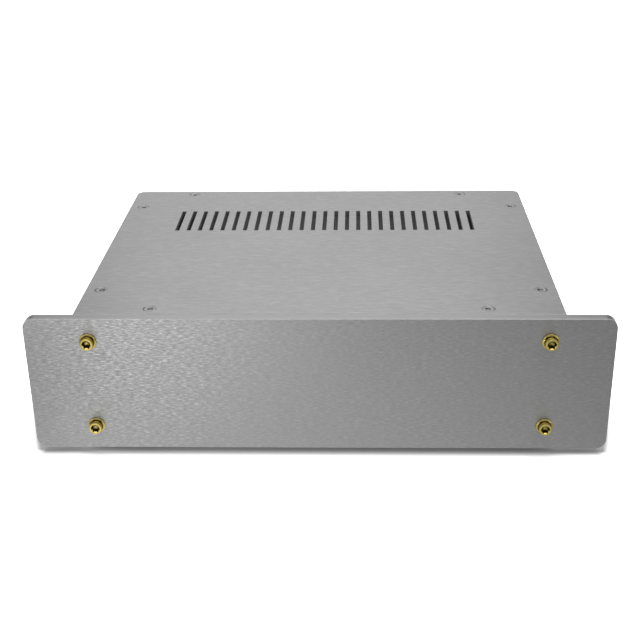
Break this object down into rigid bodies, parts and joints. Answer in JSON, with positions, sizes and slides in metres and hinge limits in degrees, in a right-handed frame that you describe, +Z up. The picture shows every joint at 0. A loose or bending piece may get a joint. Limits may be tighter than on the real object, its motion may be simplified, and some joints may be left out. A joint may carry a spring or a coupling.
{
  "type": "amplifier chassis",
  "caption": "Empty aluminium amplifier chassis: wide brushed front panel on gold socket screws, vented top and base plates, side extrusions, blank rear panel and rubber feet.",
  "frame": {"origin": "on the floor under the centre of the overall box", "axes": "+X to the right as seen from the front and along the front panel, +Y from the front panel to the rear, +Z up"},
  "size_m": [0.32, 0.2202, 0.084],
  "materials": {
    "brushed_front": "brushed along its length",
    "brushed_plate": "finely brushed along its width",
    "brushed_rear": "finely brushed along its width",
    "extruded_aluminium": "satin, with faint die lines",
    "bar_aluminium": "mill finish",
    "gold_plating": "polished gold plating",
    "screw_steel": "plain stainless",
    "foot_rubber": "matt moulded rubber"
  },
  "bodies": {
    "root": {"front_panel": "brushed_front", "top_cover": "brushed_plate", "base_plate": "brushed_plate", "left_side_extrusion": "extruded_aluminium", "right_side_extrusion": "extruded_aluminium", "rear_panel": "brushed_rear", "front_top_bar": "bar_aluminium", "front_bottom_bar": "bar_aluminium", "rear_top_bar": "bar_aluminium", "rear_bottom_bar": "bar_aluminium", "gold_washers": "gold_plating", "gold_screws": "gold_plating", "top_cover_screws": "screw_steel", "base_plate_screws": "screw_steel", "rear_panel_screws": "screw_steel", "rear_bar_screws": "screw_steel", "front_bar_screws": "screw_steel", "front_left_foot": "foot_rubber", "front_right_foot": "foot_rubber", "rear_left_foot": "foot_rubber", "rear_right_foot": "foot_rubber", "foot_washers": "screw_steel", "foot_screws": "screw_steel", "foot_nuts": "screw_steel"}
  },
  "joints": []
}
